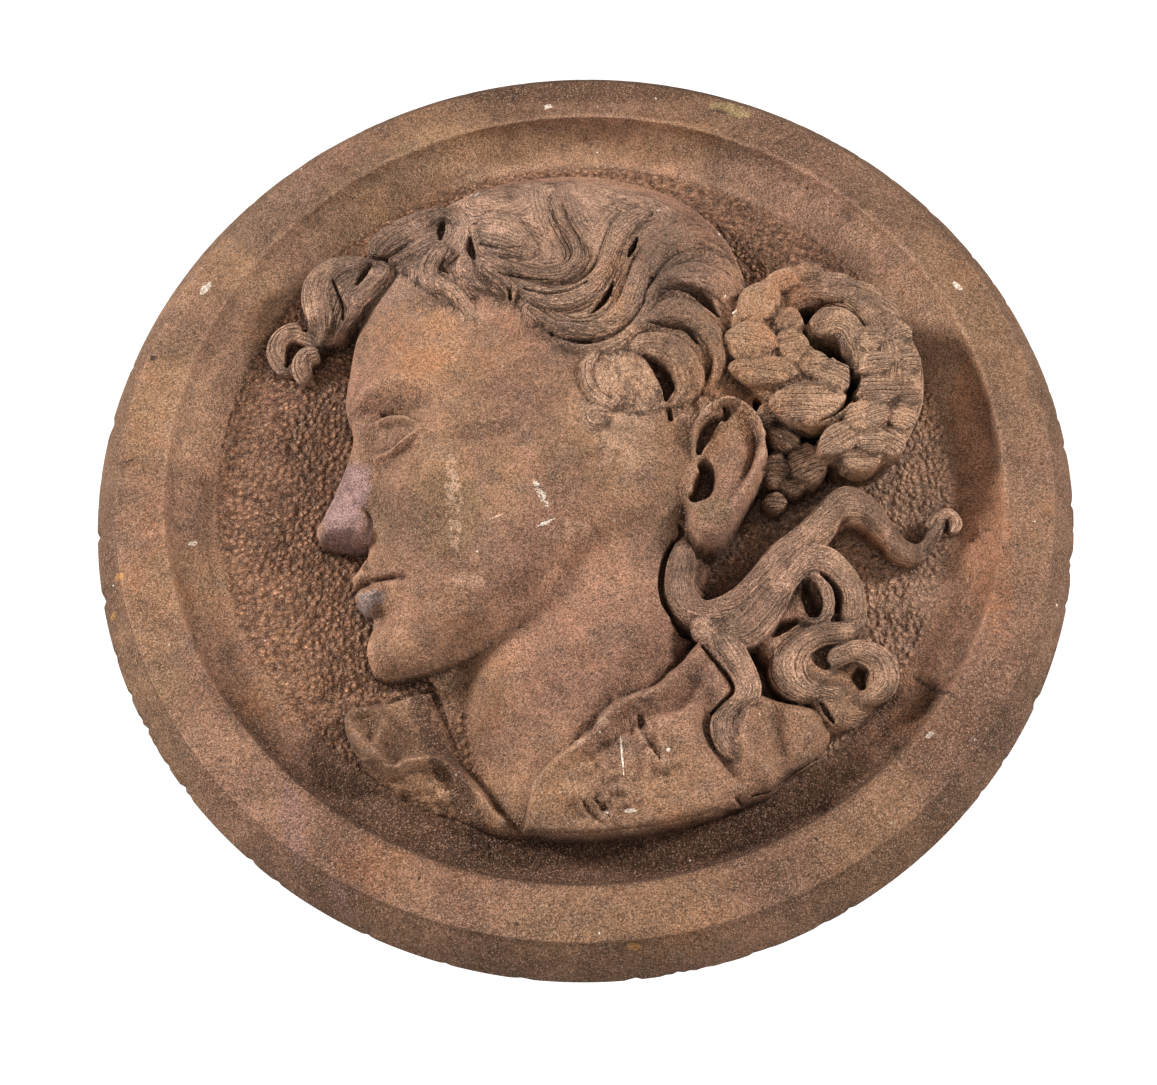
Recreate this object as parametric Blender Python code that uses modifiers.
# Carved stone roundel: a head in profile, in high relief on a sunk field, inside a turned frame.
# One block of stone. It stands on edge as on its wall: the carving faces -Y, and the flat back
# lies in the plane y = 0 with the origin at its centre.

import math

import bmesh
import bpy
import numpy as np
from mathutils import Matrix

# Driving dimensions, in metres
DISC_RADIUS = 0.380      # outer edge of the rounded rim, a disc of 760 mm
BACK_RADIUS = 0.373      # the side tapers a little to the back
THICKNESS = 0.100        # flat back to the plane of the rim's band
SPLAY_WIDTH = 0.0235     # the outer edge slopes back, slightly bowed
SPLAY_DROP = 0.030       # how far it falls back from the band
SPLAY_BOW = 0.0025
SPLAY_SINK = 0.002       # step down from the band to the slope
BAND_WIDTH = 0.0377      # flat band
COVE_WIDTH = 0.0298      # hollow moulding inside the band
COVE_DEPTH = 0.023       # band down to the foot of the hollow
FIELD_DISH = 0.008       # the field is dished by this much more in its middle
RELIEF = 0.071           # middle of the field to the level of the highest locks
RIM_STEPS = 72           # facets round the frame
SPLAY_STEPS = 3
COVE_STEPS = 4
FIELD_STEPS = 3

FIELD_RADIUS = DISC_RADIUS - SPLAY_WIDTH - BAND_WIDTH - COVE_WIDTH

# The carving is drawn on its own grid, with 289 squares to the field's radius. Heights count from
# the rim's plane, with the field's middle at -31 and the highest locks at 40.
GRID = 289.0
FIELD_LEVEL = -31.0
RELIEF_LEVEL = 40.0
PLATE_TOP = -38.0        # a hidden plate under the relief, inside the stone
PLATE_BOTTOM = -48.0
PLATE_RADIUS = 296.0
CUT_FLOOR = -33.0        # no cut goes deeper than this
SURVEY = 2.2             # spacing of the height survey of the broad forms, in squares
STEP = 3.0               # spacing along a lock
CELL = 2.8               # grain of the carved solid
STRAND = 12.0            # width of a strand within a lock
RELIEF_FACES = 8700      # triangles left on the carving
EYE_POINT = (12.7, -427.8, 923.0)   # where the marks below are seen from, on the same grid

# The head: chin, height of one third of the face, how far it leans back, level of its outline
CHIN = (-153.0, -172.0)
THIRD = 106.0
LEAN = 6.0
EDGE = -15.0


def smoothMax(a, b, blend):
    share = np.clip(0.5 + 0.5 * (a - b) / blend, 0, 1)
    return b + (a - b) * share + blend * share * (1 - share)


def curve(points, per=8):  # smooth curve through a few marks
    p = np.array(points, float)
    p = np.vstack([2 * p[0] - p[1], p, 2 * p[-1] - p[-2]])
    t = np.linspace(0, 1, per, endpoint=False)[:, None]
    runs = []
    for a, b, c, d in zip(p[:-3], p[1:-2], p[2:-1], p[3:]):
        runs.append(0.5 * (2 * b + (c - a) * t + (2 * a - 5 * b + 4 * c - d) * t ** 2
                           + (3 * b - a - 3 * c + d) * t ** 3))
    return np.vstack(runs + [p[-2:-1]])


def along(values, share):  # one value, or several spread evenly over a length
    values = np.atleast_1d(np.array(values, float))
    return np.interp(share, np.linspace(0, 1, len(values)), values)


def lengthShare(line):
    length = np.concatenate([[0], np.cumsum(np.hypot(*np.diff(line, axis=0).T[:2]))])
    return length / length[-1], length[-1]


def nearest(x, y, line):  # distance to a line and the share of its length there
    start, run = line[:-1], np.diff(line, axis=0)
    length = np.hypot(run[:, 0], run[:, 1])
    before = np.concatenate([[0], np.cumsum(length)])
    distance = np.full(x.shape, 1e9)
    share = np.zeros(x.shape)
    for i, (p, d) in enumerate(zip(start, run)):
        px, py = x - p[0], y - p[1]
        t = np.clip((px * d[0] + py * d[1]) / max(length[i] ** 2, 1e-9), 0, 1)
        gap = np.hypot(px - t * d[0], py - t * d[1])
        closer = gap < distance
        distance = np.where(closer, gap, distance)
        share = np.where(closer, (before[i] + t * length[i]) / before[-1], share)
    return distance, share


def within(x, y, loop):
    inside = np.zeros(x.shape, bool)
    for (x0, y0), (x1, y1) in zip(loop, np.roll(loop, -1, axis=0)):
        crosses = (y0 > y) != (y1 > y)
        inside ^= crosses & (x < x0 + (y - y0) * (x1 - x0) / (y1 - y0 + 1e-12))
    return inside


def egg(x, y, cx, cy, rx, ry, top, base, turn=0.0, power=2.0):
    c, s = math.cos(math.radians(turn)), math.sin(math.radians(turn))
    u = np.abs(((x - cx) * c + (y - cy) * s) / rx)
    v = np.abs((-(x - cx) * s + (y - cy) * c) / ry)
    q = u ** power + v ** power
    return base + (top - base) * np.where(q < 1, np.sqrt(np.clip(1 - q, 0, 1)),
                                          -np.sqrt(np.clip(q - 1, 0, 40)))


def ridge(x, y, points, half, lift):  # a soft ridge along a curve
    line = curve(points, 6)
    reach = 3.2 * np.max(half)
    near = ((x > line[:, 0].min() - reach) & (x < line[:, 0].max() + reach)
            & (y > line[:, 1].min() - reach) & (y < line[:, 1].max() + reach))
    result = np.zeros(x.shape)
    distance, share = nearest(x[near], y[near], line)
    result[near] = along(lift, share) * np.exp(-(distance / along(half, share)) ** 2)
    return result


def dent(x, y, cx, cy, rx, ry, depth):
    return depth * np.exp(-(((x - cx) / rx) ** 2 + ((y - cy) / ry) ** 2))


def roundedOff(x, y, loop, form, turn, start):  # a form that turns down to a height along its outline
    inside = within(x, y, loop)
    height = np.full(x.shape, -99.0)
    distance, share = nearest(x[inside], y[inside], np.vstack([loop, loop[:1]]))
    t = np.clip(distance / along(turn, share), 0, 1)
    edge = along(start, share)
    full = np.broadcast_to(form, x.shape)[inside]
    height[inside] = edge + np.maximum(full - edge, 0) * np.sqrt(1 - (1 - t) ** 2.2)
    return height, inside


def seen(marks, height):  # marks on the band's plane, moved along the line of sight to their height
    marks = np.array(marks, float)
    eye = np.array(EYE_POINT[:2])
    shrink = 1 - np.asarray(height, float) / EYE_POINT[2]
    return eye + (marks - eye) * np.broadcast_to(shrink, marks.shape[:-1])[..., None]


def toFace(x, y):  # the face's own axes, in thirds: forward is -u, up is +v, the chin is at the origin
    c, s = math.cos(math.radians(LEAN)), math.sin(math.radians(LEAN))
    dx, dy = (x - CHIN[0]) / THIRD, (y - CHIN[1]) / THIRD
    return dx * c + dy * s, -dx * s + dy * c


def fromFace(points):
    c, s = math.cos(math.radians(LEAN)), math.sin(math.radians(LEAN))
    p = np.array(points, float) * THIRD
    return np.stack([CHIN[0] + p[:, 0] * c - p[:, 1] * s,
                     CHIN[1] + p[:, 0] * s + p[:, 1] * c], 1)


HEAD_LINES = {
    "front": [(0.30, 3.32), (0.14, 3.02), (0.00, 2.66), (-0.075, 2.30), (-0.100, 2.08),
              (-0.075, 1.96), (-0.01, 1.84), (0.035, 1.60), (0.035, 1.20), (0.01, 0.90),
              (-0.02, 0.70), (0.02, 0.44), (-0.02, 0.22), (-0.015, 0.10), (0.04, 0.02), (0.18, -0.01)],
    "jaw": [(0.45, 0.03), (0.75, 0.12), (1.05, 0.26), (1.32, 0.47), (1.50, 0.72)],
    "nose": [(-0.02, 2.02), (-0.065, 1.93), (-0.055, 1.82), (-0.10, 1.66), (-0.19, 1.43),
             (-0.295, 1.22), (-0.345, 1.125), (-0.325, 1.045), (-0.24, 1.008), (-0.12, 0.990),
                 (0.06, 0.98)],
    "noseRoot": [(0.30, 1.0), (0.40, 1.5), (0.16, 1.98)],
    "upperLip": [(-0.010, 0.86), (-0.055, 0.795), (-0.108, 0.742), (-0.100, 0.700), (-0.035, 0.668),
                 (0.26, 0.655), (0.16, 0.735), (0.02, 0.80), (0.06, 0.90)],
    "lowerLip": [(-0.035, 0.668), (-0.078, 0.635), (-0.095, 0.580), (-0.062, 0.520), (-0.005, 0.465),
                 (0.05, 0.47), (0.14, 0.55), (0.25, 0.650)],
    "back": [(40, -70), (78, -48), (112, -20), (128, 20), (134, 70), (134, 120), (128, 168),
             (108, 214), (70, 248), (12, 266), (-40, 264), (-88, 252), (-126, 224), (-152, 194)],
    "neck": [(-118, -160), (-104, -184), (-90, -222), (-72, -258), (-52, -284), (70, -283), (84, -240),
             (86, -190), (84, -140), (96, -90), (100, -40), (60, 20), (-60, -60)],
}


def faceFeatures(head, x, y, u, v, inside):
    # brow, socket, cheek, temple and the hollow under the cheekbone
    head = head + ridge(u, v, [(-0.06, 2.03), (0.10, 2.10), (0.32, 2.13), (0.60, 2.02)],
                        [0.09, 0.09, 0.10, 0.14], [3.0, 7.0, 7.5, 2.0])
    head -= dent(u, v, 0.10, 1.80, 0.15, 0.14, 13) + dent(u, v, 0.30, 1.90, 0.26, 0.085, 10)
    head -= dent(u, v, 0.28, 1.53, 0.28, 0.10, 5) + dent(u, v, 0.80, 2.15, 0.25, 0.30, 4)
    head += dent(u, v, 0.62, 1.42, 0.30, 0.20, 4) - dent(u, v, 0.62, 0.80, 0.25, 0.28, 3)
    # mouth, chin and the fold between them
    head = np.where(inside, smoothMax(head, egg(u, v, 0.18, 0.70, 0.28, 0.30, 4, -24), 9), head)
    head = np.where(inside, smoothMax(head, egg(u, v, 0.20, 0.20, 0.26, 0.21, 6, -24), 11), head)
    head -= dent(u, v, 0.09, 0.42, 0.16, 0.06, 4)
    # eyeball, lids, the crease above them, the pupil and the inner corner
    ball = egg(u, v, 0.235, 1.725, 0.185, 0.135, 12, -16)
    head = smoothMax(head, np.where(ball > -12, ball, -60), 3.0)
    head += ridge(u, v, [(0.045, 1.745), (0.085, 1.825), (0.19, 1.862), (0.32, 1.815), (0.47, 1.70)],
                  [0.018, 0.024, 0.026, 0.024, 0.018], [4, 8.5, 9, 7.5, 3])
    head += ridge(u, v, [(0.075, 1.655), (0.145, 1.610), (0.27, 1.610), (0.45, 1.690)],
                  [0.017, 0.022, 0.022, 0.018], [3.0, 6.0, 5.5, 2.2])
    head -= ridge(u, v, [(0.08, 1.895), (0.19, 1.93), (0.33, 1.885), (0.50, 1.75)], 0.016, [3, 5, 4.5, 1])
    head -= dent(u, v, 0.120, 1.735, 0.030, 0.044, 10) + dent(u, v, 0.035, 1.70, 0.035, 0.055, 12)
    return head


def noseAndLips(head, x, y, u, v, inside):
    bridge = curve(fromFace(HEAD_LINES["nose"]), 5)
    loop = np.vstack([bridge, fromFace(HEAD_LINES["noseRoot"])])
    on = within(x, y, loop)
    distance, _ = nearest(x[on], y[on], bridge)
    turn = np.interp(v[on], [1.0, 1.12, 1.4, 1.7, 1.95], [17, 17, 13, 12, 18])
    rise = np.interp(v[on], [1.0, 1.15, 1.4, 1.75, 2.0], [21, 21, 17, 16, 18])
    t = np.clip(distance / turn, 0, 1)
    nose = np.full(x.shape, -99.0)
    nose[on] = EDGE + 1 + rise * np.sqrt(1 - (1 - t) ** 2) + np.maximum(distance - turn, 0) * 0.1
    nose = np.where(on, smoothMax(nose, egg(u, v, -0.075, 1.10, 0.125, 0.105, 13, -12), 4), nose)
    head = np.where(on, np.where(inside, smoothMax(head, nose, 5), np.maximum(head, nose)), head)
    inside = inside | on
    head = head - ridge(u, v, [(-0.03, 1.26), (0.045, 1.20), (0.065, 1.10), (0.03, 1.01)], 0.020,
                        [1.5, 5.0, 5.5, 3.0])
    head -= dent(u, v, -0.155, 1.012, 0.062, 0.026, 14)
    for lip, turn in (("upperLip", 12), ("lowerLip", 13)):
        loop = curve(fromFace(HEAD_LINES[lip] + HEAD_LINES[lip][:1]), 5)
        on = within(x, y, loop)
        distance, _ = nearest(x[on], y[on], loop)
        t = np.clip(distance / turn, 0, 1)
        roll = np.full(x.shape, -99.0)
        roll[on] = (EDGE + np.interp(u[on], [-0.1, 0.10, 0.26], [0, 6, 12])
                    + 17 * np.sqrt(1 - (1 - t) ** 2))
        head = np.where(on, np.where(inside, smoothMax(head, roll, 2.5), np.maximum(head, roll)), head)
        inside = inside | on
    mouth = [(-0.05, 0.668), (0.08, 0.672), (0.20, 0.662), (0.28, 0.645)]
    return head - ridge(u, v, mouth, [0.012, 0.012, 0.014, 0.028], [5, 6.5, 7.5, 6]), inside


def headForm(x, y):
    u, v = toFace(x, y)
    loop = curve(np.vstack([fromFace(HEAD_LINES["front"] + HEAD_LINES["jaw"]), HEAD_LINES["back"]]), 5)
    broad = egg(u, v, 1.25, 2.35, 2.0, 1.9, 29, -30, power=2.4)
    broad = smoothMax(broad, egg(u, v, 1.05, 1.25, 1.5, 1.6, 30, -40, 12, 2.3), 12)
    broad = smoothMax(broad, egg(u, v, 0.95, 0.72, 1.15, 0.85, 26, -40, -14, 2.2), 10)
    turn = [90, 85, 70, 50, 46, 46, 42, 40, 44, 50, 60, 66, 60, 50, 60]
    start = [-14, -14, -14, -14, -14, -16, -4, 4, 9, 8, -2, -14, -14, -14, -14]
    head, inside = roundedOff(x, y, loop, broad, turn, start)
    head = faceFeatures(head, x, y, u, v, inside)
    head, inside = noseAndLips(head, x, y, u, v, inside)
    # the neck, with the long muscle from behind the ear to the pit of the throat
    neck = -34 + 45 * np.sqrt(np.clip(1 - ((x - 12 - 0.10 * (y + 200)) / 104) ** 2, 0, 1))
    neck += np.interp(y, [-290, -230, -150], [-24, -12, 0])
    side = [-22, -25, -26, -26, -26, -26, -26, -26, -26, -26, -26, -26, -24]
    neck, on = roundedOff(x, y, curve(HEAD_LINES["neck"], 5), neck, [40, 32, 30, 32] + 9 * [46], side)
    neck = neck + np.where(on, ridge(x, y, [(70, -95), (30, -160), (-20, -230), (-44, -280)],
                                     [20, 18, 14, 12], [3, 6, 7, 5]), 0)
    both = np.where(inside & on, smoothMax(head, neck, 5), np.maximum(head, neck))
    return both, inside | on


# Ear, hair and dress. Their marks are where the eye sees them, on the band's plane.
EAR = {
    "shell": [(82, 6), (84, 28), (91, 43), (102, 51), (115, 55), (128, 48), (139, 36), (144, 21),
        (143, 4), (138, -11), (130, -26), (121, -41), (114, -52), (106, -62), (97, -66), (88, -65),
        (83, -58), (79, -45), (79, -21)],
    "height": 25.0,
    "helix": [(90, 14), (88, 28), (94, 40), (104, 48), (114, 50), (126, 44), (135, 33), (139, 19),
        (138, 4), (133, -9), (124, -24), (116, -37), (108, -49)],
    "fold": [(112, 28), (118, 14), (115, -3), (110, -19), (101, -34)],
    "groove": [(125, 38), (132, 28), (134, 14), (130, -1), (125, -14), (119, -26)],
    "bowl": [(92, -14), (97, 4), (99, 19)],
}


def earForm(x, y):
    shell, on = roundedOff(x, y, curve(seen(EAR["shell"], 28), 5), EAR["height"], 9, 0)
    for marks, half, lift in ((EAR["helix"], 3.6, [2, 7, 10, 11, 11, 11, 11, 11, 10, 9, 7, 4, 1]),
                              (EAR["groove"], 3.0, [0, -3, -4, -4, -3, 0]),
                              (EAR["fold"], 7.0, [0, 3, 4, 3, 1]), (EAR["bowl"], 11.0, [-8, -9, -7])):
        shell += np.where(on, ridge(x, y, seen(marks, 30), half, lift), 0)
    lobe = seen([(93, -50), (100, -42)], 30)
    shell += np.where(on, ridge(x, y, lobe, 9, [3, 2]), 0)
    tragus = seen([(82, 4), (85, -4), (85, -14), (81, -24)], 28)
    cheekEdge = ridge(x, y, tragus, [6, 7.5, 7.5, 6], [3, 9, 9, 4])
    return shell, on, cheekEdge


DRESS = {
    "right": [(-42, -282), (-39, -265), (-35, -247), (-25, -235), (-14, -226), (-3, -219), (7, -209),
        (14, -199), (24, -190), (41, -184), (54, -178), (63, -169), (72, -161), (79, -152), (87, -146),
        (95, -153), (104, -165), (111, -177), (128, -183), (148, -189), (168, -192), (176, -202),
        (179, -213), (172, -225), (161, -235), (145, -244), (132, -256), (109, -264), (93, -271),
        (73, -276), (50, -281), (26, -285), (-1, -287), (-23, -286)],
    "rightTurn": [5, 5, 5, 6, 6, 6, 8, 10, 16, 16, 16, 14, 10, 7, 6, 6],
    "rightStart": [-22, -8, -6, -4, -2, -2, -4, -14, -20, -20, -20, -20, -18, -16, -16, -20],
    "left": [(-172, -200), (-168, -193), (-160, -190), (-143, -188), (-129, -183), (-119, -179),
        (-108, -178), (-100, -187), (-94, -202), (-85, -219), (-73, -237), (-58, -256), (-47, -272),
        (-42, -282), (-51, -286), (-66, -282), (-87, -273), (-107, -266), (-126, -258), (-142, -250),
        (-156, -237), (-165, -222), (-171, -210)],
}


TAIL_BED = [(69, -115), (86, -134), (108, -124), (131, -104), (161, -80), (183, -84), (200, -100),
    (207, -123), (193, -146), (222, -153), (223, -176), (204, -201), (178, -212), (162, -194),
    (141, -183), (132, -161), (114, -146), (85, -146)]


def dressForm(x, y):
    right = curve(seen(DRESS["right"], 6), 4)
    broad = 15 - 0.0010 * ((x - 40) ** 2 + (y + 200) ** 2)
    fold, on = roundedOff(x, y, right, broad, DRESS["rightTurn"], DRESS["rightStart"])
    # rolled edge along the neck and the sunk strip inside it
    rolled = seen([(-32, -250), (-21, -236), (-4, -225), (11, -212), (21, -199), (41, -190), (57, -183),
        (73, -167), (85, -157)], 10)
    sunk = seen([(-23, -256), (-11, -242), (6, -230), (21, -218), (34, -206), (50, -199), (67, -192),
        (80, -178)], 10)
    fold += np.where(on, ridge(x, y, rolled, 4.5, [1, 2, 3.5, 2.5, 4, 5.5, 5.5, 4, 2]), 0)
    fold -= np.where(on, ridge(x, y, sunk, 8, [1, 3, 4, 3, 5, 7, 7, 4]), 0)
    # folds that fall from the loose lock
    for marks, half, lift in (
            ([(92, -190), (89, -206), (94, -222), (105, -235), (111, -247)], 6, [-5, -9, -9, -8, -3]),
            ([(118, -199), (114, -215), (118, -228), (127, -239), (133, -250)], 6, [3, 6, 8, 8, 5]),
            ([(134, -193), (138, -210), (142, -228), (145, -240)], 7, [-3, -6, -6, -3]),
            ([(155, -195), (162, -209), (161, -225)], 9, [3, 4, 2]),
            ([(41, -192), (57, -206), (72, -228), (82, -250)], 15, [3, 3, 2, 0]),
            ([(-15, -244), (-1, -254), (11, -269)], 10, [2, 3, 2])):
        fold += np.where(on, ridge(x, y, seen(marks, 10), half, lift), 0)
    bed = curve(seen(TAIL_BED, 0), 4)
    under, below = roundedOff(x, y, bed, np.interp(x, [60, 130, 200], [8, 3, -6]) + 0 * y, 9, -30)
    fold, on = np.maximum(fold, under), on | below
    left = curve(seen(DRESS["left"], -2), 4)
    sloping = np.interp(y, [-280, -240, -205, -180], [-8, -12, -9, -14])
    collar, under = roundedOff(x, y, left, sloping, [8, 8, 8, 14, 14, 14, 8, 8], -24)
    for marks, half, lift in (
            ([(-168, -202), (-158, -217), (-145, -230), (-133, -239), (-122, -235), (-109, -232),
                (-98, -233), (-85, -243), (-71, -256), (-54, -274)],
             4.5, [6, 9, 13, 15, 13, 13, 13, 12, 11, 7]),
            ([(-165, -196), (-150, -197), (-140, -206), (-144, -219), (-143, -230)], 4.0, [4, 8, 9, 9, 7]),
            ([(-128, -199), (-112, -216), (-91, -235)], 14, [-4, -6, -5]),
            ([(-106, -186), (-92, -207), (-76, -233), (-57, -261)], 11, [-14, -19, -20, -14]),
            ([(-147, -244), (-128, -253), (-107, -260), (-84, -268)], 7, [-6, -9, -9, -6])):
        collar += np.where(under, ridge(x, y, seen(marks, -4), half, lift), 0)
    return np.maximum(fold, collar), on | under


HAIRLINE = [(-159, 176), (-149, 176), (-132, 156), (-105, 134), (-81, 143), (-60, 139), (-39, 119),
    (-18, 104), (6, 98), (3, 74), (18, 49), (44, 38), (66, 42), (91, 31), (122, 48), (140, 138),
    (130, 173), (112, 208), (84, 238), (49, 258), (-3, 268), (-53, 268), (-96, 257), (-135, 239),
    (-173, 204)]


def hairMass(x, y):  # the hair's own thickness over the skull
    line = curve(seen(HAIRLINE, 25), 4)
    on = within(x, y, line)
    mass = np.zeros(x.shape)
    distance, _ = nearest(x[on], y[on], np.vstack([line, line[:1]]))
    mass[on] = 5.0 * np.sqrt(1 - (1 - np.clip(distance / 16, 0, 1)) ** 2)
    return mass


def form(x, y):
    head, on = headForm(x, y)
    head = np.where(on, head + hairMass(x, y), head)
    shell, eared, tragus = earForm(x, y)
    head = np.maximum(np.where(on, head + tragus, head), shell)
    on = on | eared
    cloth, draped = dressForm(x, y)
    height = np.where(on & draped, smoothMax(head, cloth, 3), np.maximum(head, cloth))
    return np.where((on | draped) & (np.hypot(x, y) < PLATE_RADIUS), height, -99.0)


class Carving:  # vertices and faces of all the carved forms, later made one skin

    def __init__(self):
        self.points, self.faces, self.count = [], [], 0
        n = int(PLATE_RADIUS / SURVEY) + 1
        self.axis = np.arange(-n, n + 1) * SURVEY
        self.x, self.y = np.meshgrid(self.axis, self.axis)
        self.land = form(self.x, self.y)

    def landAt(self, place):  # the surveyed height at any places
        u = np.clip((place[..., 0] - self.axis[0]) / SURVEY, 0, len(self.axis) - 1.001)
        v = np.clip((place[..., 1] - self.axis[0]) / SURVEY, 0, len(self.axis) - 1.001)
        i, j = v.astype(int), u.astype(int)
        a, b = v - i, u - j
        z = self.land
        flat = ((z[i, j] * (1 - b) + z[i, j + 1] * b) * (1 - a)
                + (z[i + 1, j] * (1 - b) + z[i + 1, j + 1] * b) * a)
        return np.maximum(flat, CUT_FLOOR)

    def add(self, points, faces):
        self.points.append(points)
        self.faces += [block + self.count for block in faces]
        self.count += len(points)

    def ribbon(self, first, last, lift=None, crest=None, arch=4.0, deep=14.0, groove=3.0,
               ends=(0.10, 0.14), sharp=2.6):
        # a lock between two guides, with a few broad strands along its length
        a, b = curve(first, 10), curve(last, 10)
        share, length = lengthShare((a + b) / 2)
        count = max(int(length / STEP), 8)
        s = np.linspace(0, 1, count + 1)
        a = np.stack([np.interp(s, share, column) for column in a.T], 1)
        b = np.stack([np.interp(s, share, column) for column in b.T], 1)
        wide = np.hypot(*(b - a).T).max()
        across = max(int(wide / (0.7 * CELL)), 8)
        strands = max(round(np.hypot(*(b - a).T).mean() / STRAND), 1)
        t = np.linspace(0, 1, across + 1)[None, :]
        size = np.clip(s / ends[0], 0, 1) * np.clip((1 - s) / ends[1], 0, 1)
        size = (np.sqrt(1 - (1 - size) ** 2) * 0.8 + 0.2)[:, None]
        spread = 0.5 + (t - 0.5) * size
        marks = a[:, None] + (b - a)[:, None] * spread[..., None]
        roll = np.sqrt(np.clip(1 - np.abs(2 * t - 1) ** sharp, 0, 1))
        lines = groove * (1 - np.abs(np.sin(math.pi * t * strands)))
        shape = -arch * (1 - roll) - lines * np.clip(roll * 1.8, 0, 1) * size
        if crest is None:
            height = np.zeros(marks.shape[:2])
            for _ in range(4):
                height = self.landAt(seen(marks, height))
            pad = np.pad(height, ((3, 3), (3, 3)), mode="edge")
            height = sum(pad[i:i + height.shape[0], j:j + height.shape[1]]
                         for i in range(0, 7, 2) for j in range(0, 7, 2)) / 16
            height = height + along(lift, s)[:, None]
        else:
            height = along(crest, s)[:, None] + 0.0 * t
        top = height + shape
        place = seen(marks, height)
        n, m = top.shape
        upper = np.column_stack([place.reshape(-1, 2), top.ravel()])
        lower = np.column_stack([place.reshape(-1, 2), (height - arch - deep + 0.0 * t).ravel()])
        grid = np.arange(n * m).reshape(n, m)
        p, q, r, w = grid[:-1, :-1], grid[1:, :-1], grid[1:, 1:], grid[:-1, 1:]
        faces = [np.stack([p, q, r, w], -1).reshape(-1, 4),
                 np.stack([w, r, q, p], -1).reshape(-1, 4) + n * m]
        rim = np.concatenate([grid[0, :-1], grid[:-1, -1], grid[-1, :0:-1], grid[:0:-1, 0]])
        after = np.roll(rim, -1)
        faces.append(np.stack([rim, after, after + n * m, rim + n * m], -1))
        self.add(np.vstack([upper, lower]), faces)

    def lock(self, marks, half, lift=None, crest=None, **kind):  # a lock along one line, with half widths
        line = np.array(marks, float)
        tangent = np.gradient(curve(line, 10), axis=0)[::10][:len(line)]
        tangent /= np.hypot(*tangent.T)[:, None] + 1e-9
        half = along(half, np.linspace(0, 1, len(line)))[:, None]
        normal = np.stack([-tangent[:, 1], tangent[:, 0]], 1)
        self.ribbon(line + normal * half, line - normal * half, lift=lift, crest=crest, **kind)

    def pad(self, x, y, long, wide, turn, crest, tall=9.0, deep=22.0):  # a rounded lump
        rho, angle = np.meshgrid(np.linspace(0, 1, 9)[1:], np.linspace(0, 2 * math.pi, 33)[:-1],
                                 indexing="ij")
        c, s = math.cos(math.radians(turn)), math.sin(math.radians(turn))
        u, v = rho * np.cos(angle), rho * np.sin(angle)
        z = crest - tall * (1 - np.sqrt(np.clip(1 - rho ** 3.2, 0, 1)))
        v = v * (1 - 0.3 * u ** 2)
        cx, cy = seen([(x, y)], crest - 2)[0]
        px = cx + long * u * c - wide * v * s
        py = cy + long * u * s + wide * v * c
        n, m = z.shape
        points = [np.column_stack([px.ravel(), py.ravel(), z.ravel()]),
                  np.column_stack([px[-1], py[-1], np.full(m, crest - tall - deep)]),
                  np.array([[cx, cy, crest], [cx, cy, crest - tall - deep]])]
        grid = np.arange((n + 1) * m).reshape(n + 1, m)
        near, far = grid[:-1], grid[1:]
        faces = [np.stack([near, far, np.roll(far, -1, 1), np.roll(near, -1, 1)], -1).reshape(-1, 4)]
        top, low = (n + 1) * m, (n + 1) * m + 1
        ring, under = grid[0], grid[-1]
        faces.append(np.stack([np.full(m, top), ring, np.roll(ring, -1)], -1))
        faces.append(np.stack([np.full(m, low), np.roll(under, -1), under], -1))
        self.add(np.vstack(points), faces)

    def ground(self):  # the broad forms over a hidden plate
        x, y, w = self.x, self.y, len(self.axis)
        keep = np.hypot(x, y) < PLATE_RADIUS + SURVEY
        top = np.maximum(self.land, PLATE_TOP)
        upper = np.column_stack([x.ravel(), y.ravel(), top.ravel()])
        lower = np.column_stack([x.ravel(), y.ravel(), np.full(x.size, PLATE_BOTTOM)])
        full = keep[:-1, :-1] & keep[1:, :-1] & keep[:-1, 1:] & keep[1:, 1:]
        i, j = np.nonzero(full)
        a, b, c, d = i * w + j, i * w + j + 1, (i + 1) * w + j + 1, (i + 1) * w + j
        faces = [np.stack([a, b, c, d], 1), np.stack([d, c, b, a], 1) + w * w]
        wall = np.pad(full, 1)
        for p, q, di, dj in ((a, b, -1, 0), (c, d, 1, 0), (b, c, 0, 1), (d, a, 0, -1)):
            out = ~wall[i + 1 + di, j + 1 + dj]
            faces.append(np.stack([q[out], p[out], p[out] + w * w, q[out] + w * w], 1))
        self.add(np.vstack([upper, lower]), faces)


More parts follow.
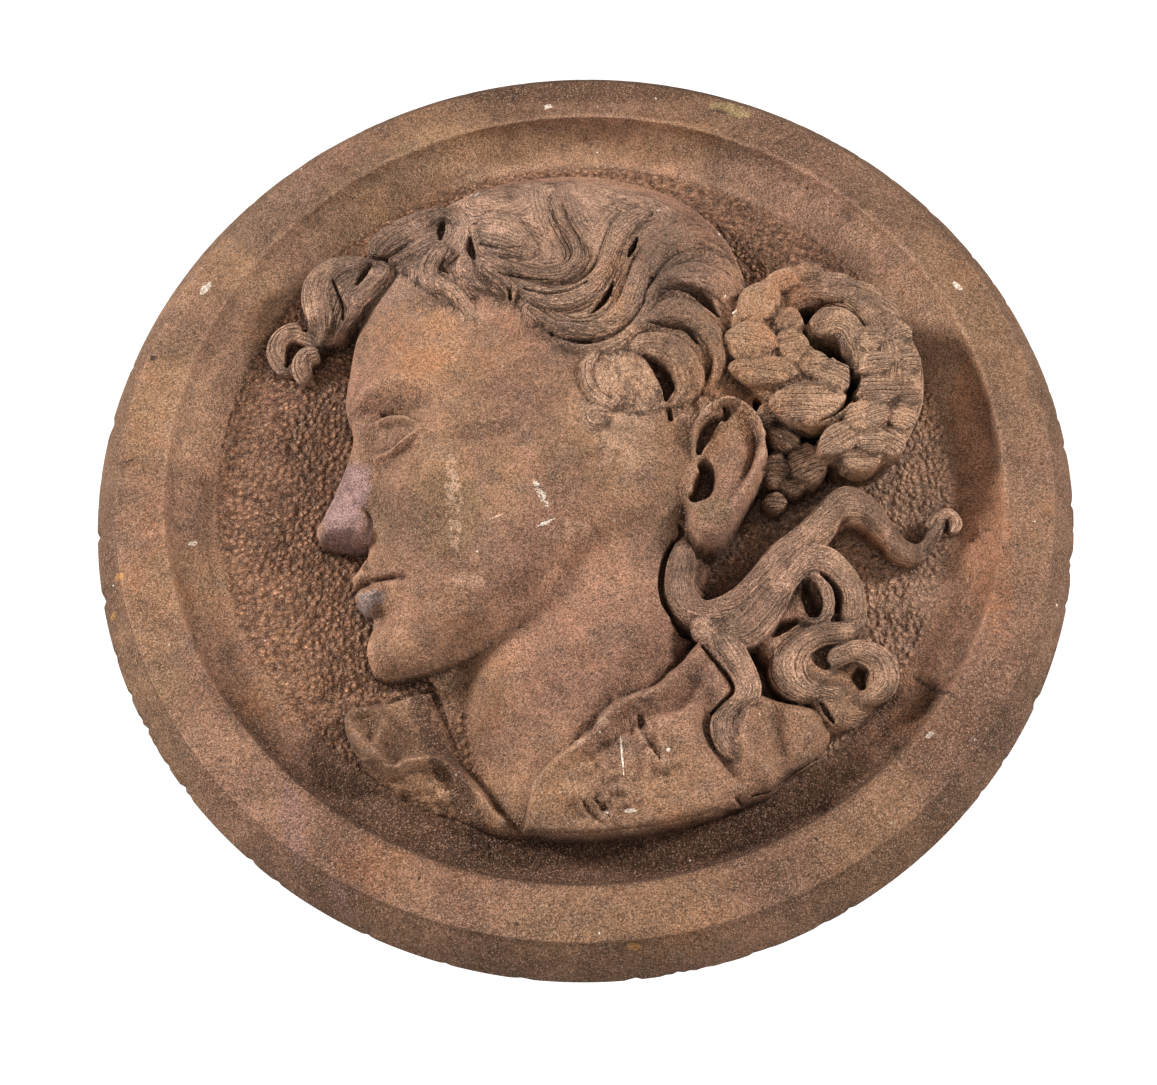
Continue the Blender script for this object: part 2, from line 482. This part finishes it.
def carveHair(work):
    # forelock, standing free of the forehead, and the small curl under it
    work.ribbon([(-155, 176), (-172, 181), (-190, 186), (-207, 184), (-221, 174), (-228, 159),
        (-228, 142), (-223, 126), (-214, 111), (-211, 96)],
                [(-160, 166), (-173, 172), (-186, 168), (-196, 162), (-201, 151), (-199, 140),
                    (-196, 131), (-197, 122), (-201, 113), (-205, 102)],
                crest=[12, 14, 14, 12, 9, 6, 4, 2, -2, -8], arch=7, deep=30, groove=3.0)
    work.ribbon([(-177, 181), (-184, 168), (-193, 158), (-196, 147), (-191, 135), (-193, 122), (-200, 109)],
                [(-150, 174), (-156, 162), (-168, 147), (-177, 138), (-180, 129), (-188, 119), (-195, 105)],
                crest=[12, 13, 12, 11, 8, 4, -3], arch=6, deep=30, groove=3.0)
    work.ribbon([(-155, 176), (-178, 180), (-201, 180), (-215, 168), (-220, 150), (-216, 131),
        (-209, 113), (-207, 100)],
                [(-152, 170), (-164, 155), (-176, 142), (-184, 133), (-188, 123), (-192, 114),
                    (-196, 105), (-202, 98)],
                crest=[9, 9, 9, 7, 4, 0, -5, -11], arch=5, deep=26, groove=3.0)
    work.lock([(-207, 102), (-219, 110), (-232, 114), (-242, 107), (-244, 95), (-238, 82), (-227, 73)],
        [6, 8, 8, 8, 8, 7, 5],
              crest=[-7, -9, -10, -11, -13, -16, -20], arch=5, deep=20)
    work.lock([(-210, 95), (-219, 93), (-223, 84), (-219, 71), (-209, 64)], [6, 8, 8, 7, 4],
        crest=[-8, -11, -14, -18, -24],
              arch=5, deep=18)
    # quiff over the forehead, rolled round a pit, and the bright fold that leaves it
    work.ribbon([(-182, 187), (-176, 202), (-163, 215), (-147, 225), (-131, 231), (-117, 233),
        (-105, 228), (-96, 217), (-94, 201), (-98, 187), (-103, 173)],
                [(-162, 178), (-156, 186), (-146, 194), (-135, 200), (-127, 207), (-121, 214),
                    (-115, 217), (-111, 212), (-111, 202), (-113, 191), (-116, 181)],
                crest=[8, 13, 17, 20, 22, 23, 24, 24, 23, 21, 19], arch=8, deep=34, groove=3.0)
    work.ribbon([(-162, 179), (-153, 185), (-141, 190), (-130, 194), (-119, 196)],
                [(-150, 172), (-142, 175), (-134, 179), (-125, 185), (-115, 187)],
                crest=[12, 15, 17, 18, 18], arch=4, deep=20)
    work.ribbon([(-122, 198), (-132, 183), (-135, 166), (-127, 154), (-113, 148), (-103, 137), (-96, 123)],
                [(-104, 190), (-113, 179), (-118, 170), (-109, 162), (-98, 154), (-89, 139), (-81, 125)],
                lift=[7, 7, 7, 7, 6, 4, 1], arch=7)
    work.ribbon([(-99, 190), (-106, 175), (-104, 164), (-93, 152)],
                [(-82, 183), (-88, 171), (-83, 160), (-73, 149)], lift=[4, 4, 4, 2], arch=5)
    # crown: a bowl of waves, then bands that rise from the hairline and fall back from it
    work.ribbon([(-90, 223), (-93, 200), (-83, 179), (-64, 167), (-43, 162), (-24, 161), (-7, 173),
        (-1, 189), (-6, 209), (-11, 231), (-13, 254)],
                [(-67, 231), (-72, 213), (-67, 200), (-55, 190), (-41, 186), (-29, 187), (-22, 194),
                    (-20, 205), (-26, 219), (-31, 235), (-33, 257)],
                lift=[3, 5, 6, 6, 6, 6, 6, 6, 5, 4, 2], arch=6, groove=3.0)
    work.ribbon([(-65, 233), (-70, 215), (-64, 202), (-51, 194), (-38, 193), (-29, 203), (-33, 221),
        (-37, 251)],
                [(-52, 237), (-57, 223), (-53, 213), (-47, 208), (-44, 213), (-45, 223), (-48, 233),
                    (-51, 251)],
                lift=[2, 4, 4, 4, 4, 4, 4, 2], arch=4)
    work.ribbon([(-94, 239), (-90, 223), (-80, 213), (-68, 209)], [(-69, 251), (-65, 235), (-59, 227),
        (-50, 229)],
                lift=[0, 2, 2, 0], arch=3)
    work.ribbon([(-77, 179), (-59, 162), (-35, 152), (-12, 157), (4, 172), (7, 192), (3, 211), (-1, 232),
        (-3, 254)],
                [(-57, 143), (-41, 135), (-22, 133), (-2, 143), (14, 161), (20, 182), (17, 205),
                    (17, 228), (19, 252)],
                lift=[3, 5, 7, 7, 7, 6, 5, 4, 2], arch=6, groove=3.0)
    work.ribbon([(-55, 139), (-38, 132), (-18, 130), (1, 139), (14, 154), (20, 172), (22, 188),
        (25, 207), (28, 229), (30, 250)],
                [(-34, 121), (-18, 117), (-2, 120), (9, 130), (19, 144), (28, 165), (33, 184), (39, 201),
                    (48, 221), (56, 240)],
                lift=[2, 5, 7, 7, 7, 7, 6, 5, 4, 2], arch=6, groove=3.0)
    work.ribbon([(-34, 119), (-13, 111), (7, 117), (20, 131), (30, 152), (37, 170), (43, 186), (52, 197),
        (60, 209), (65, 226)],
                [(-28, 104), (-1, 97), (25, 100), (41, 115), (51, 138), (56, 159), (61, 174), (66, 185),
                    (74, 201), (86, 216)],
                lift=[1, 5, 8, 8, 8, 7, 6, 5, 4, 2], arch=7, groove=3.0)
    work.ribbon([(-98, 175), (-80, 166), (-65, 152), (-60, 137)], [(-79, 185), (-62, 169), (-51, 154),
        (-52, 139)],
                lift=[3, 5, 5, 2], arch=5)
    work.ribbon([(19, 248), (37, 242), (54, 230)], [(22, 228), (39, 222), (50, 216)], lift=[0, 2, 0],
        arch=2)
    # back of the head, arcs that run to the edge
    work.ribbon([(54, 174), (60, 191), (71, 206), (88, 218), (103, 210), (114, 196)],
                [(56, 157), (64, 172), (77, 185), (94, 189), (110, 183), (122, 170)],
                lift=[5, 6, 6, 5, 4, 2], arch=5, groove=3.0)
    work.ribbon([(46, 139), (56, 157), (72, 172), (93, 178), (113, 170), (125, 153)],
                [(54, 133), (65, 150), (81, 155), (99, 151), (113, 138), (122, 121)],
                lift=[4, 7, 8, 8, 6, 3], arch=6, groove=3.0)
    work.ribbon([(38, 116), (52, 131), (68, 144), (86, 141), (100, 129), (111, 112), (115, 91),
        (110, 73), (101, 56)],
                [(47, 107), (58, 118), (74, 120), (88, 115), (98, 103), (103, 91), (101, 77), (96, 63),
                    (90, 50)],
                lift=[3, 7, 8, 9, 9, 9, 8, 6, 2], arch=7, deep=20, groove=3.0)
    work.ribbon([(28, 100), (45, 111), (63, 113), (79, 106), (90, 93), (96, 77), (95, 61), (86, 47)],
                [(39, 88), (50, 93), (59, 91), (67, 84), (72, 73), (74, 61), (70, 50), (66, 42)],
                lift=[2, 7, 10, 10, 10, 9, 7, 2], arch=8, deep=22, groove=3.0)
    work.ribbon([(12, 99), (6, 90), (3, 76), (7, 62), (17, 51), (27, 40)],
                [(45, 91), (52, 81), (58, 68), (61, 54), (63, 42), (63, 31)],
                lift=[1, 1, 1, 1, 1, 0], arch=1.2, deep=14, groove=0.6)
    work.lock([(18, 99), (9, 90), (3, 77), (4, 63), (11, 53), (21, 48), (27, 54)], [3, 5, 6, 6, 5.5, 5, 3],
              lift=[3, 4, 4, 4, 4, 4, 2], arch=3.5, groove=1.6)
    work.lock([(91, 52), (96, 45), (91, 37)], [5, 6, 4], lift=[5, 5, 2], arch=4)


KNOT = {  # lumps of the plaited knot: place, half length, half width, turn, height
    "column": [(143, 138, 21, 18, 70, 29), (134, 103, 22, 19, -10, 30), (143, 77, 28, 14, -8, 30),
               (178, 48, 32, 19, -2, 30), (163, 121, 13, 14, 60, 27), (166, 98, 14, 20, 10, 28),
               (182, 81, 14, 14, 0, 27), (195, 68, 14, 23, -25, 27), (163, 158, 22, 11, 20, 26),
               (182, 164, 14, 11, 0, 25)],
    "ring": [(225, 103, 15, 12, 0, 30), (230, 81, 16, 11, 10, 30), (230, 58, 18, 13, 0, 30),
             (220, 36, 19, 14, 20, 29), (199, 17, 20, 13, 30, 26), (222, 15, 14, 13, 0, 27),
             (249, 108, 12, 16, 20, 27), (254, 83, 12, 16, 5, 27), (253, 58, 12, 16, 0, 27),
             (246, 36, 13, 14, -15, 26), (234, 14, 14, 13, -30, 24), (213, 1, 16, 11, 0, 22),
             (240, 130, 16, 11, -35, 27), (224, 145, 19, 11, -25, 26), (203, 154, 20, 11, -5, 25)],
    "crumbs": [(172, -3, 16, 18, 20, 10), (155, 19, 15, 11, -30, 12), (147, -8, 13, 14, 0, 4),
               (161, -21, 12, 9, 0, 0), (143, 38, 9, 10, 0, 16), (146, -36, 10, 8, 0, -4)],
}


def carveKnot(work):
    # the ring's body, the lock hooked through its middle, and the plait on the left
    work.ribbon([(152, 147), (167, 168), (188, 170), (209, 164), (229, 152), (245, 134), (259, 112),
        (267, 90), (268, 67), (264, 44), (253, 22), (237, 3), (217, -6), (197, -6), (185, 9)],
                [(173, 127), (180, 136), (191, 138), (205, 136), (217, 126), (223, 112), (223, 96),
                    (220, 79), (216, 64), (212, 51), (205, 39), (197, 31), (190, 26), (184, 22),
                    (176, 19)],
                crest=[20, 22, 24, 25, 26, 26, 26, 26, 26, 25, 24, 22, 20, 17, 14], arch=9, deep=44,
                groove=2.6)
    work.ribbon([(177, 107), (179, 121), (191, 134), (207, 135), (219, 126), (226, 110), (224, 92),
        (219, 76)],
                [(190, 101), (196, 106), (202, 108), (206, 105), (209, 97), (212, 90), (214, 83),
                    (215, 76)],
                crest=[20, 25, 28, 29, 29, 28, 26, 22], arch=7, deep=40, groove=1.4)
    work.ribbon([(128, 147), (119, 121), (119, 93), (126, 69), (150, 47), (172, 31)],
                [(167, 154), (173, 128), (177, 105), (191, 90), (208, 76), (206, 51)],
                crest=[21, 22, 23, 23, 22, 20], arch=6, deep=40, groove=2.2)
    for group in ("column", "ring"):
        for x, y, long, wide, turn, crest in KNOT[group]:
            work.pad(x, y, long, wide, turn, crest, tall=7 if group == "column" else 5)
    for x, y, long, wide, turn, crest in KNOT["crumbs"]:
        work.pad(x, y, long, wide, turn, crest, tall=9)


def carveTails(work):
    # the long lock behind the neck, up and out over the field
    work.ribbon([(70, -66), (63, -81), (60, -96), (61, -114), (68, -127), (83, -138), (104, -140),
        (127, -124), (148, -101), (167, -81), (184, -67), (197, -52), (210, -53), (223, -67), (233, -81),
        (249, -85), (262, -73), (274, -57)],
                [(83, -69), (85, -84), (83, -100), (86, -108), (94, -113), (111, -104), (125, -90),
                    (140, -71), (155, -59), (170, -46), (188, -27), (204, -22), (222, -33), (232, -51),
                    (241, -65), (250, -69), (258, -59), (268, -46)],
                crest=[16, 15, 13, 11, 11, 12, 14, 15, 15, 14, 13, 12, 9, 4, -2, -8, -11, -12],
                arch=8, deep=36, groove=3.0, ends=(0.03, 0.05))
    work.lock([(259, -59), (266, -49), (275, -46), (280, -53), (276, -62)], [4, 5, 5, 5, 4],
        crest=[-12, -10, -9, -10, -13],
              arch=5, deep=20)
    # the second, round two dark pits
    work.ribbon([(81, -127), (102, -129), (121, -112), (143, -89), (165, -68), (184, -71), (197, -82),
        (206, -98), (209, -115), (207, -132), (199, -146)],
                [(108, -153), (127, -147), (141, -134), (151, -117), (159, -102), (169, -93), (179, -96),
                    (188, -106), (190, -118), (188, -129), (182, -138)],
                crest=[12, 14, 15, 16, 16, 15, 13, 11, 8, 5, 1], arch=6, deep=34, groove=3.0)
    work.lock([(160, -95), (169, -93), (177, -100), (181, -111), (180, -122), (173, -130), (161, -132)],
        [4, 4.5, 4.5, 4.5, 4.5, 4.5, 4],
              crest=[11, 11, 10, 8, 6, 4, 2], arch=4, deep=28)
    # the third, turning back on itself, and the hook at its end
    work.ribbon([(213, -123), (196, -129), (177, -131), (160, -135), (146, -144), (137, -156),
        (135, -171), (143, -184), (156, -191), (172, -193)],
                [(199, -144), (188, -147), (177, -148), (169, -152), (163, -158), (161, -166),
                    (164, -173), (171, -179), (183, -180), (191, -183)],
                crest=[5, 6, 6, 6, 5, 4, 4, 3, 1, -3], arch=6, deep=28, groove=3.0)
    work.ribbon([(174, -153), (190, -146), (205, -144), (219, -150), (227, -161), (228, -174),
        (223, -185), (211, -192), (200, -196)],
                [(181, -167), (190, -162), (197, -160), (204, -163), (208, -168), (208, -176),
                    (204, -182), (199, -185), (192, -187)],
                crest=[3, 5, 7, 7, 6, 4, 2, 0, -5], arch=6, deep=26, groove=3.0)
    work.lock([(173, -190), (181, -198), (190, -202), (200, -199)], [6, 8, 8, 5],
        crest=[-6, -7, -8, -12], arch=5, deep=18)
    # a loose lock that falls on the dress
    work.ribbon([(88, -140), (97, -155), (105, -167), (110, -178), (108, -186), (100, -192), (93, -200),
        (91, -212), (96, -225), (106, -236)],
                [(114, -140), (121, -155), (126, -167), (129, -179), (126, -189), (117, -195),
                    (110, -202), (109, -212), (113, -222), (121, -230)],
                crest=[16, 17, 17, 16, 16, 15, 14, 13, 11, 6], arch=5, deep=24, groove=1.5)
    work.ribbon([(78, -130), (85, -143), (97, -149), (111, -146)], [(92, -124), (102, -134), (113, -137),
        (123, -132)],
                crest=[12, 14, 14, 11], arch=4, deep=24)


# Deep hollows between the locks and in the ear: marks, half width along them, depth
CUTS = [
    ([(49, 89), (57, 82), (64, 73), (67, 63), (65, 50)], [1.5, 5.0, 7.0, 5.5, 1.5], 18),
    ([(62, 150), (77, 151), (89, 147), (100, 136), (108, 125)], [1.5, 3.4, 4.6, 4.4, 1.5], 14),
    ([(-92, 198), (-91, 187), (-89, 179)], [1.2, 4.6, 1.2], 11),
    ([(-238, 126), (-228, 129), (-223, 120), (-221, 113)], [2.0, 4.5, 4.0, 2.0], 12),
    ([(108, 35), (101, 31), (95, 23), (91, 13), (89, 4)], [1.5, 4.5, 6.0, 4.5, 2.0], 13),
    ([(92, -6), (95, -11), (94, -19), (90, -27), (85, -32)], [4.5, 7.5, 8.5, 7.5, 4.5], 20),
    ([(68, -130), (75, -137), (82, -146)], [3.0, 6.0, 2.5], 18),
    ([(93, -84), (91, -100), (95, -109)], [4, 9, 4], 10),
    ([(164, -101), (166, -112), (169, -122)], [1.5, 5.0, 5.5], 16),
    ([(139, -141), (146, -135), (155, -131)], [2.5, 4.5, 2.5], 12),
    ([(201, -167), (199, -173), (200, -179)], [3.5, 5.5, 3.5], 14),
    ([(197, -52), (194, -60), (199, -64)], [3, 5, 3], 10),
    ([(183, 105), (194, 99), (204, 90), (214, 78)], [2.5, 6.5, 6.5, 2.5], 34),
]


def driveCuts(mesh):  # lowers the skin inside the cuts
    points = coordinates(mesh)
    scale = 1 / (1 - points[:, 2] / EYE_POINT[2])
    x = EYE_POINT[0] + (points[:, 0] - EYE_POINT[0]) * scale
    y = EYE_POINT[1] + (points[:, 1] - EYE_POINT[1]) * scale
    drop = np.zeros(len(points))
    for marks, half, depth in CUTS:
        line = curve(marks, 6)
        reach = 1.4 * np.max(half)
        near = np.nonzero((x > line[:, 0].min() - reach) & (x < line[:, 0].max() + reach)
                          & (y > line[:, 1].min() - reach) & (y < line[:, 1].max() + reach))[0]
        distance, share = nearest(x[near], y[near], line)
        t = np.clip((distance / along(half, share) - 0.45) / 0.8, 0, 1)
        drop[near] = np.maximum(drop[near], depth * (1 - t * t * (3 - 2 * t)))
    lowered = np.maximum(points[:, 2] - drop, CUT_FLOOR)
    points[:, 2] = np.where(points[:, 2] > CUT_FLOOR, lowered, points[:, 2])
    setCoordinates(mesh, points)


def coordinates(mesh):
    points = np.empty(len(mesh.vertices) * 3)
    mesh.vertices.foreach_get("co", points)
    return points.reshape(-1, 3)


def setCoordinates(mesh, points):
    mesh.vertices.foreach_set("co", np.ascontiguousarray(points).ravel())
    mesh.update()


def carvedObject():  # the whole carving as one closed solid on its grid
    work = Carving()
    for carve in (carveHair, carveKnot, carveTails):
        carve(work)
    work.ground()
    mesh = bpy.data.meshes.new("carving")
    faces = [face for block in work.faces for face in block.tolist()]
    mesh.from_pydata(np.vstack(work.points).tolist(), [], faces)
    carving = bpy.data.objects.new("carving", mesh)
    guides.objects.link(carving)
    remesh = carving.modifiers.new("one skin", "REMESH")
    remesh.mode = "VOXEL"
    remesh.voxel_size = CELL
    applyModifiers(carving)
    keepLargest(carving.data)
    driveCuts(carving.data)
    soften = carving.modifiers.new("soften", "SMOOTH")
    soften.factor = 0.5
    soften.iterations = 1
    thin = carving.modifiers.new("thin", "DECIMATE")
    thin.use_collapse_triangulate = True
    thin.ratio = min(1.0, RELIEF_FACES / sum(len(p.vertices) - 2 for p in carving.data.polygons))
    applyModifiers(carving)
    return carving


def applyModifiers(target):
    graph = bpy.context.evaluated_depsgraph_get()
    mesh = bpy.data.meshes.new_from_object(target.evaluated_get(graph))
    target.modifiers.clear()
    target.data = mesh


def keepLargest(mesh):  # only the largest connected skin stays, so no sealed pocket is left in the stone
    shape = bmesh.new()
    shape.from_mesh(mesh)
    seenVerts, groups = set(), []
    for vert in shape.verts:
        if vert in seenVerts:
            continue
        group, front = [], [vert]
        seenVerts.add(vert)
        while front:
            here = front.pop()
            group.append(here)
            for edge in here.link_edges:
                other = edge.other_vert(here)
                if other not in seenVerts:
                    seenVerts.add(other)
                    front.append(other)
        groups.append(group)
    groups.sort(key=len)
    spare = [vert for group in groups[:-1] for vert in group]
    bmesh.ops.delete(shape, geom=spare, context="VERTS")
    shape.to_mesh(mesh)
    shape.free()


def frameProfile():  # half section of the disc, from the middle of the front round the edge to the back
    points = []
    for i in range(FIELD_STEPS):
        r = FIELD_RADIUS * i / FIELD_STEPS
        points.append((r, -COVE_DEPTH - FIELD_DISH * (1 - (r / FIELD_RADIUS) ** 2)))
    cove = FIELD_RADIUS + COVE_WIDTH
    for i in range(COVE_STEPS + 1):
        angle = math.pi / 2 * i / COVE_STEPS
        points.append((FIELD_RADIUS + COVE_WIDTH * math.sin(angle), -COVE_DEPTH * math.cos(angle)))
    band = cove + BAND_WIDTH
    points.append((band, 0.0))
    fall = SPLAY_DROP - SPLAY_SINK
    slope = math.hypot(SPLAY_WIDTH, fall)
    for i in range(SPLAY_STEPS + 1):
        t = i / SPLAY_STEPS
        bow = 4 * SPLAY_BOW * t * (1 - t)
        points.append((band + SPLAY_WIDTH * t + bow * fall / slope,
                       -SPLAY_SINK - fall * t + bow * SPLAY_WIDTH / slope))
    points.append((BACK_RADIUS, -THICKNESS))
    points.append((0.0, -THICKNESS))
    return points


def turnedDisc():
    profile = frameProfile()
    mesh = bpy.data.meshes.new("disc")
    mesh.from_pydata([(r, 0.0, z) for r, z in profile], [(i, i + 1) for i in range(len(profile) - 1)], [])
    disc = bpy.data.objects.new("disc", mesh)
    guides.objects.link(disc)
    screw = disc.modifiers.new("turned", "SCREW")
    screw.steps = screw.render_steps = RIM_STEPS
    screw.use_merge_vertices = True
    screw.merge_threshold = 0.00001
    screw.use_normal_calculate = True
    applyModifiers(disc)
    return disc


def stoneMaterial():
    stone = bpy.data.materials.new("brownstone")
    stone.use_nodes = True
    shader = stone.node_tree.nodes["Principled BSDF"]
    shader.inputs["Base Color"].default_value = (0.16, 0.098, 0.067, 1.0)
    shader.inputs["Roughness"].default_value = 0.9
    shader.inputs["Metallic"].default_value = 0.0
    return stone


def placeOnGrid(carving):  # squares to metres, heights set between the field and the relief's top
    square = FIELD_RADIUS / GRID
    lift = RELIEF / (RELIEF_LEVEL - FIELD_LEVEL)
    fieldLevel = -COVE_DEPTH - FIELD_DISH
    points = coordinates(carving.data)
    points[:, :2] *= square
    points[:, 2] = fieldLevel + (points[:, 2] - FIELD_LEVEL) * lift
    setCoordinates(carving.data, points)


def roundel():
    carving = carvedObject()
    placeOnGrid(carving)
    disc = turnedDisc()
    join = disc.modifiers.new("carving", "BOOLEAN")
    join.operation = "UNION"
    join.solver = "EXACT"
    join.object = carving
    applyModifiers(disc)
    keepLargest(disc.data)
    stand = Matrix.Translation((0, -THICKNESS, 0)) @ Matrix.Rotation(math.pi / 2, 4, "X")
    disc.data.transform(stand)
    disc.name = "brownstone_roundel"
    disc.data.name = "brownstone_roundel"
    disc.data.materials.clear()
    disc.data.materials.append(stoneMaterial())
    disc.data.shade_smooth()
    disc.data.set_sharp_from_angle(angle=math.radians(40))
    guides.objects.unlink(disc)
    parts.objects.link(disc)
    bpy.data.objects.remove(carving)


for old in list(bpy.data.objects):
    bpy.data.objects.remove(old)
parts = bpy.data.collections.new("roundel")
guides = bpy.data.collections.new("guides")
bpy.context.scene.collection.children.link(parts)
bpy.context.scene.collection.children.link(guides)
roundel()
